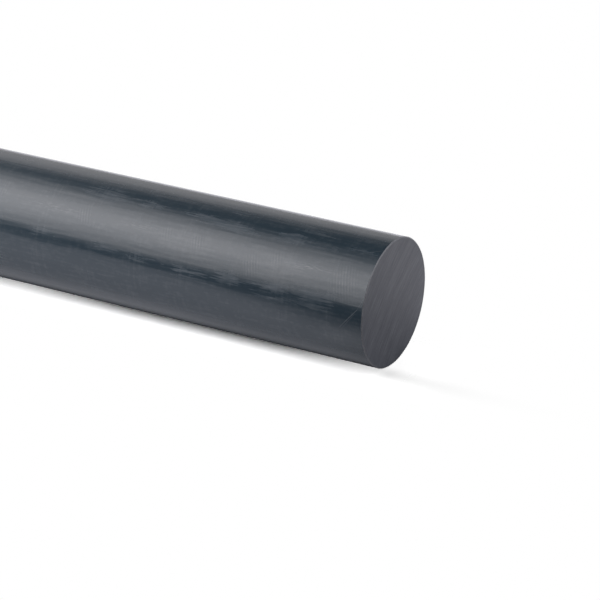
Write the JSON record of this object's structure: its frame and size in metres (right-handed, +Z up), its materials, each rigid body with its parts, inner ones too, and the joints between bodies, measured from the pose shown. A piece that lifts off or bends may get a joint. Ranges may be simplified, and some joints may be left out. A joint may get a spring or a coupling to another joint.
{
  "type": "nylon rod",
  "caption": "Solid round rod of dark grey nylon, sawn square at both ends, for turning bushes, rollers, pins and spacers or for clamping as it is.",
  "frame": {"origin": "under the middle of the rod's length, on the surface that it lies on", "axes": "+X along the rod towards the sawn end that the picture shows, +Z up, +Y across the rod"},
  "size_m": [0.5, 0.05, 0.05],
  "materials": {
    "nylon": "satin"
  },
  "bodies": {
    "root": {"rod": "nylon"}
  },
  "joints": []
}
